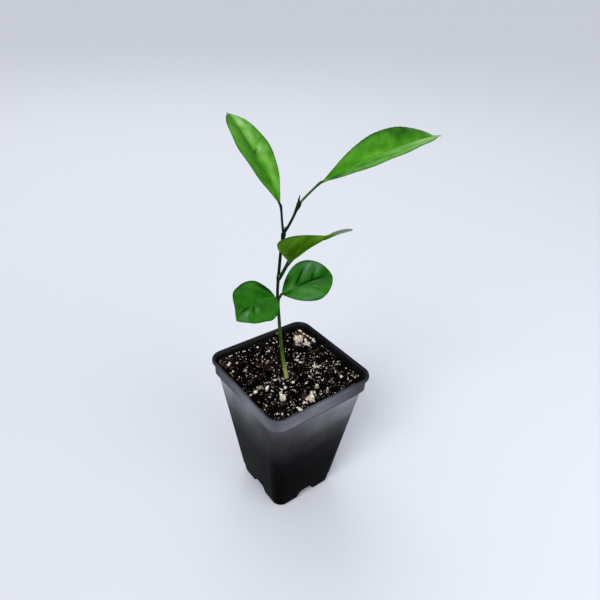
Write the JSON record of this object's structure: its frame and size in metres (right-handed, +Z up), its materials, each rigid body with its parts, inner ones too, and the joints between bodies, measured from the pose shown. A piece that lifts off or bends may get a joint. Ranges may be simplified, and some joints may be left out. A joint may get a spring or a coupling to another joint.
{
  "type": "potted citrus seedling",
  "caption": "Young calamondin orange plant with a slender leaning stem and glossy leaves, in a tall square tapered nursery pot filled with potting mix.",
  "frame": {"origin": "middle of the pot's flat underside, on the surface it stands on", "axes": "+Z up along the height; X and Y parallel to the pot's sides; the top right leaf reaches out towards +X, and the stem leans towards -X and +Y"},
  "size_m": [0.111, 0.0834, 0.2023],
  "materials": {
    "black_plastic": "satin",
    "potting_mix": "matte",
    "green_bark": "satin",
    "leaf": "satin"
  },
  "bodies": {
    "root": {"pot": "black_plastic", "potting_mix": "potting_mix", "stem": "green_bark", "upper_shoot": "green_bark", "leaf_upper_left": "leaf", "leaf_upper_right": "leaf", "leaf_middle": "leaf", "leaf_lower_right": "leaf", "leaf_lower_left": "leaf"}
  },
  "joints": []
}
